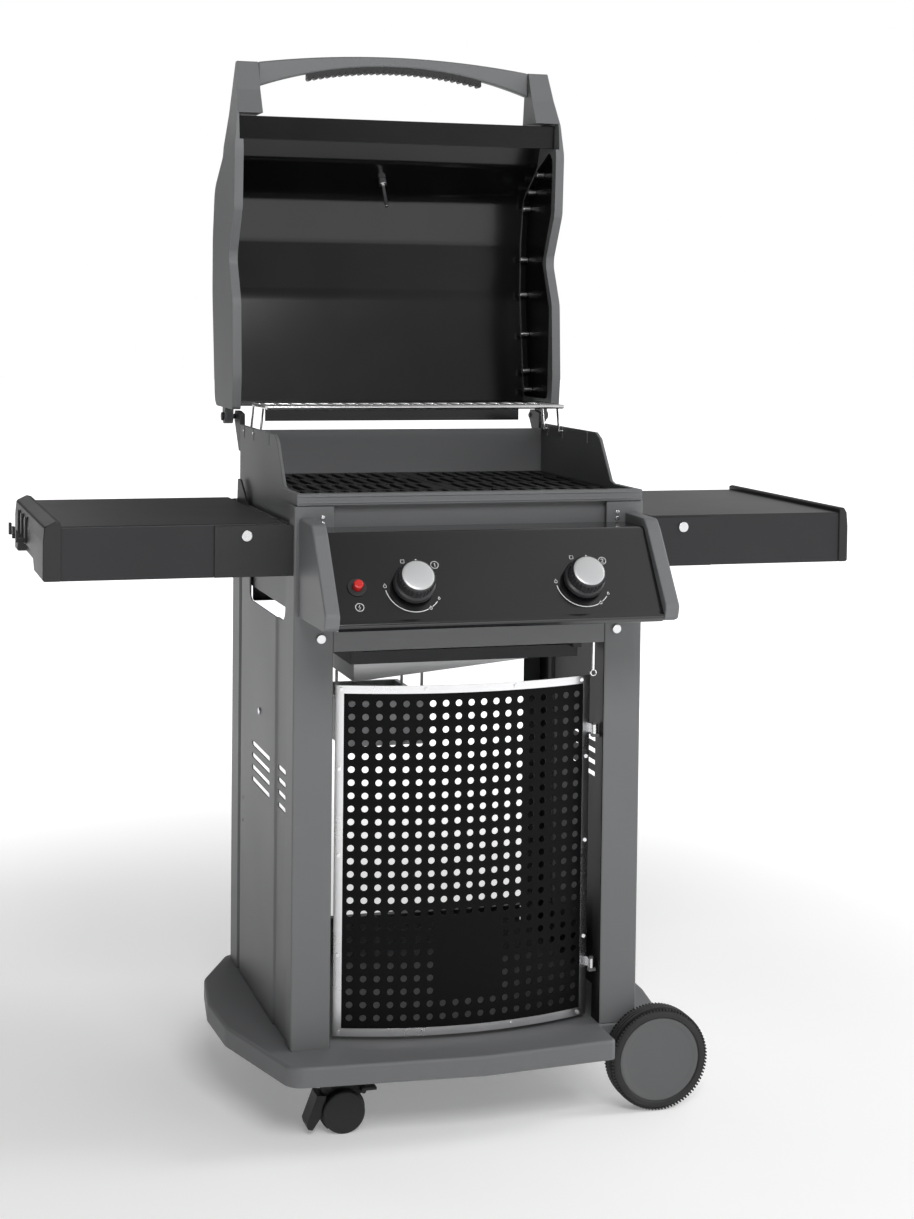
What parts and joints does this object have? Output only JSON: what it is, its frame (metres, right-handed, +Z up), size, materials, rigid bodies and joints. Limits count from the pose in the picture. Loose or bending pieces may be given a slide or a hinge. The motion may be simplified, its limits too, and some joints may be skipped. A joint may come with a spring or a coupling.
{
  "type": "gas barbecue grill",
  "caption": "Two-burner gas barbecue grill on a wheeled cabinet cart, with an open hinged lid, side tables, a bowed perforated door and a bottom shelf.",
  "frame": {"origin": "on the ground under the middle of the bounding box, lid open and tables up", "axes": "+Z up, -Y towards the front with the controls, +X to the right as seen from the front"},
  "size_m": [1.271, 0.7806, 1.646],
  "materials": {
    "grey_frame": "satin grey paint",
    "cast_grey": "satin grey paint on a casting",
    "grey_moulding": "fine-grained grey moulding",
    "black_enamel": "glossy black enamel",
    "black_sheet": "textured black paint",
    "cast_black": "matt black",
    "bright_trim": "bare bright metal",
    "chrome": "bright plated wire",
    "galvanised": "plain sheet steel",
    "brass": "machined",
    "black_plastic": "matt black",
    "knob_grey": "satin dark grey",
    "knob_face": "silvered disc",
    "red_button": "glossy red",
    "tyre": "solid tread"
  },
  "bodies": {
    "cart": {"bottom_shelf": "grey_moulding", "left_side_panel": "grey_frame", "right_side_panel": "grey_frame", "left_front_leg": "grey_frame", "right_front_leg": "grey_frame", "crossmembers": "grey_frame", "cart_screws": "bright_trim", "cookbox": "cast_grey", "left_grate": "cast_black", "right_grate": "cast_black", "warming_rack": "chrome", "heat_tents": "black_enamel", "burners": "galvanised", "gas_manifold": "brass", "lid_hinges": "black_sheet", "control_panel": "black_enamel", "left_panel_end_cap": "grey_moulding", "right_panel_end_cap": "grey_moulding", "igniter_bezel": "black_plastic", "right_table_top": "black_sheet", "left_table_bracket": "black_sheet", "right_table_bracket": "black_sheet", "right_table_end_cap": "black_plastic", "table_screws": "bright_trim", "door_hinges": "chrome", "tray_rails": "black_sheet", "match_holder": "chrome", "axle": "bright_trim"},
    "grease_tray": {"grease_tray": "galvanised", "catch_pan": "galvanised"},
    "lid": {"lid_shell": "black_enamel", "lid_left_end": "cast_grey", "lid_right_end": "cast_grey", "lid_front_band": "black_enamel", "lid_handle": "cast_grey", "handle_grip": "black_plastic", "lid_bolts": "chrome", "lid_thermometer": "bright_trim"},
    "door": {"door_panel": "black_sheet", "door_trim": "bright_trim"},
    "left_table": {"left_table_top": "black_sheet", "left_table_end_cap": "black_plastic", "left_tool_hooks": "black_plastic"},
    "left_stem": {"left_valve_stem": "bright_trim"},
    "right_stem": {"right_valve_stem": "bright_trim"},
    "left_knob": {"left_knob": "knob_grey", "left_knob_face": "knob_face"},
    "right_knob": {"right_knob": "knob_grey", "right_knob_face": "knob_face"},
    "igniter_button": {"igniter_button": "red_button"},
    "front_wheel": {"front_tyre": "tyre", "front_hub": "grey_moulding"},
    "rear_wheel": {"rear_tyre": "tyre", "rear_hub": "grey_moulding"},
    "front_caster": {"front_caster_hood": "black_plastic"},
    "rear_caster": {"rear_caster_hood": "black_plastic"},
    "front_caster_wheels": {"front_caster_wheels": "black_plastic"},
    "rear_caster_wheels": {"rear_caster_wheels": "black_plastic"},
    "front_brake": {"front_brake_lever": "black_plastic"},
    "rear_brake": {"rear_brake_lever": "black_plastic"}
  },
  "joints": [
    {"name": "lid_hinge", "type": "hinge", "parent": "cart", "child": "lid", "pos_m": [0.0135, 0.27731, 1.04], "axis": [1, 0, 0], "range_deg": [0, 90]},
    {"name": "door_hinge", "type": "hinge", "parent": "cart", "child": "door", "pos_m": [0.2195, -0.19969, 0.4], "axis": [0, 0, 1], "range_deg": [0, 100]},
    {"name": "left_table_fold", "type": "hinge", "parent": "cart", "child": "left_table", "pos_m": [-0.3275, 0.00231, 0.893], "axis": [0, -1, 0], "range_deg": [0, 90]},
    {"name": "tray_slide", "type": "slide", "parent": "cart", "child": "grease_tray", "axis": [0, 1, 0], "range_m": [0, 0.25]},
    {"name": "left_knob_push", "type": "slide", "parent": "cart", "child": "left_stem", "axis": [0, 0.8199, -0.5725], "range_m": [0, 0.005], "stiffness_N_per_m": 900, "springref_m": -0.003},
    {"name": "right_knob_push", "type": "slide", "parent": "cart", "child": "right_stem", "axis": [0, 0.8199, -0.5725], "range_m": [0, 0.005], "stiffness_N_per_m": 900, "springref_m": -0.003},
    {"name": "left_knob_turn", "type": "hinge", "parent": "left_stem", "child": "left_knob", "pos_m": [-0.1145, -0.34767, 0.831], "axis": [0, -0.8199, 0.5725], "range_deg": [0, 240]},
    {"name": "right_knob_turn", "type": "hinge", "parent": "right_stem", "child": "right_knob", "pos_m": [0.1415, -0.34767, 0.831], "axis": [0, -0.8199, 0.5725], "range_deg": [0, 240]},
    {"name": "igniter_push", "type": "slide", "parent": "cart", "child": "igniter_button", "axis": [0, 0.8199, -0.5725], "range_m": [0, 0.006], "stiffness_N_per_m": 400, "springref_m": -0.003},
    {"name": "front_wheel_spin", "type": "hinge", "parent": "cart", "child": "front_wheel", "pos_m": [0.3115, -0.25969, 0.079], "axis": [0, 1, 0], "continuous": true},
    {"name": "rear_wheel_spin", "type": "hinge", "parent": "cart", "child": "rear_wheel", "pos_m": [0.3115, 0.28631, 0.079], "axis": [0, 1, 0], "continuous": true},
    {"name": "front_caster_swivel", "type": "hinge", "parent": "cart", "child": "front_caster", "pos_m": [-0.1965, -0.20269, 0.1], "axis": [0, 0, 1], "continuous": true},
    {"name": "front_caster_roll", "type": "hinge", "parent": "front_caster", "child": "front_caster_wheels", "pos_m": [-0.1765, -0.20269, 0.032], "axis": [0, 1, 0], "continuous": true},
    {"name": "front_brake_tip", "type": "hinge", "parent": "front_caster", "child": "front_brake", "pos_m": [-0.1455, -0.20269, 0.06], "axis": [0, 1, 0], "range_deg": [0, 15]},
    {"name": "rear_caster_swivel", "type": "hinge", "parent": "cart", "child": "rear_caster", "pos_m": [-0.1965, 0.20731, 0.1], "axis": [0, 0, 1], "continuous": true},
    {"name": "rear_caster_roll", "type": "hinge", "parent": "rear_caster", "child": "rear_caster_wheels", "pos_m": [-0.1765, 0.20731, 0.032], "axis": [0, 1, 0], "continuous": true},
    {"name": "rear_brake_tip", "type": "hinge", "parent": "rear_caster", "child": "rear_brake", "pos_m": [-0.1455, 0.20731, 0.06], "axis": [0, 1, 0], "range_deg": [0, 15]}
  ]
}
